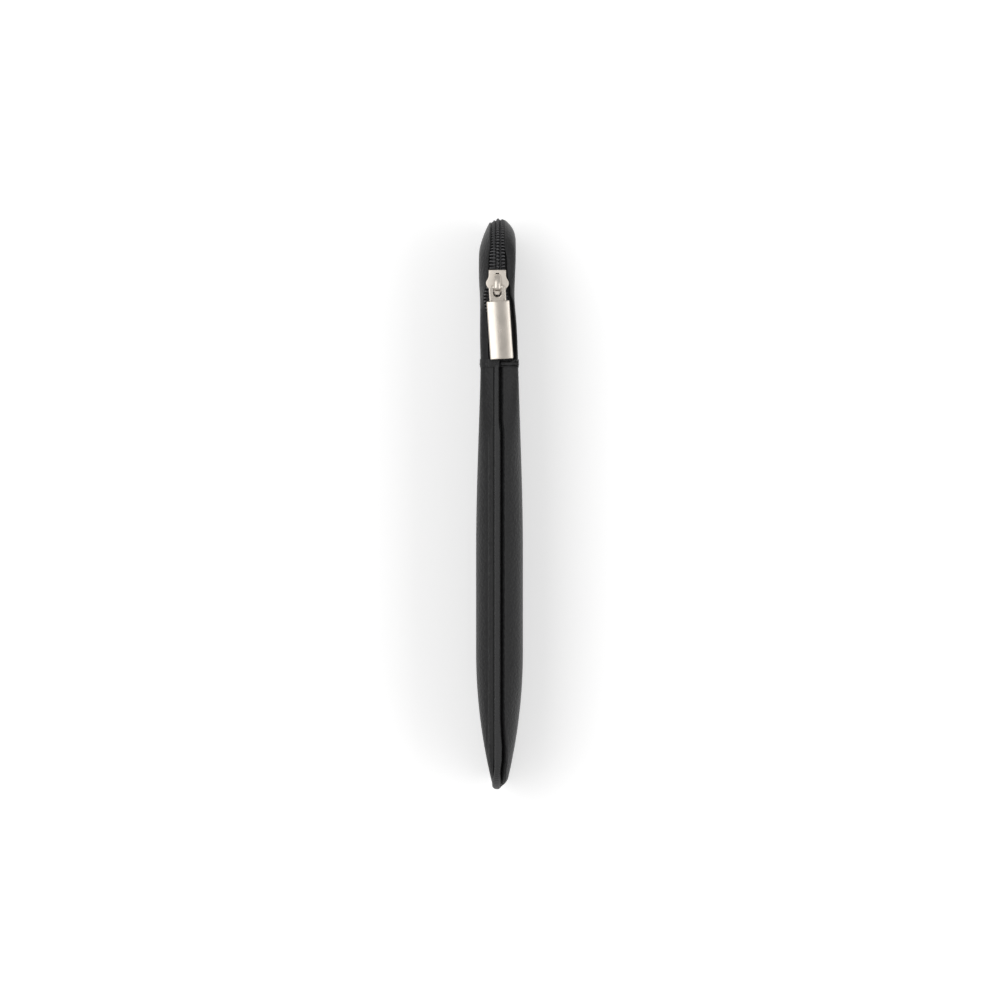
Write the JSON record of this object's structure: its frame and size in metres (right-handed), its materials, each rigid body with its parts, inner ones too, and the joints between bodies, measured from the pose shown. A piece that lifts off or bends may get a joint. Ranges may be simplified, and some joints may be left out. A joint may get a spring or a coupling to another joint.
{
  "type": "fountain pen case",
  "caption": "Slim zipped leather case for fountain pens, with a rounded zip end, a tapered bound end, a hem band and a metal slider with a flat pull tab.",
  "frame": {"origin": "middle of the box of the whole case, on the surface that its far long edge stands on", "axes": "+Y along the case towards its zipped end, +X through its thickness from the back panel to the front panel, +Z from the bound far edge up to the edge that carries the slider"},
  "size_m": [0.0142, 0.1716, 0.0529],
  "materials": {
    "leather": "black drum-dyed leather, finely grained, soft sheen",
    "leather_trim": "black leather strip, smooth, stitched",
    "interlining_board": "grey bonded fibre board, unfinished",
    "lining_cloth": "dark grey woven lining cloth",
    "binding_tape": "black ribbed grosgrain binding, sewn",
    "zip_tape": "black woven polyester zip tape",
    "zip_coil": "black drawn polyester monofilament, slight gloss",
    "coil_cord": "black twisted polyester cord",
    "zip_stop": "black painted brass staple",
    "slider_metal": "satin nickel plating on cast zinc",
    "pull_metal": "satin nickel plating on cast zinc, bare face",
    "spring_steel": "bright spring steel strip"
  },
  "bodies": {
    "case": {"front_panel": "leather", "back_panel": "leather", "front_interlining": "interlining_board", "back_interlining": "interlining_board", "front_lining": "lining_cloth", "back_lining": "lining_cloth", "edge_binding": "binding_tape", "hem_band": "leather_trim", "front_tape": "zip_tape", "back_tape": "zip_tape", "front_coil": "zip_coil", "back_coil": "zip_coil", "front_coil_cord": "coil_cord", "back_coil_cord": "coil_cord", "near_stop": "zip_stop", "far_stop": "zip_stop"},
    "slider": {"slider_body": "slider_metal", "slider_cap": "slider_metal", "lock_spring": "spring_steel"},
    "pull": {"pull_tab": "pull_metal"}
  },
  "joints": [
    {"name": "zip_slide", "type": "slide", "parent": "case", "child": "slider", "axis": [0, 1, 0], "range_m": [-0.0175, 0.002], "deforming": ["front_coil", "back_coil", "front_coil_cord", "back_coil_cord", "front_tape", "back_tape"]},
    {"name": "pull_swing", "type": "hinge", "parent": "slider", "child": "pull", "pos_m": [-0.00077, 0.06499, 0.0515], "axis": [-0.9977, -0.068, 0], "range_deg": [0, 155], "deforming": ["lock_spring"]}
  ]
}
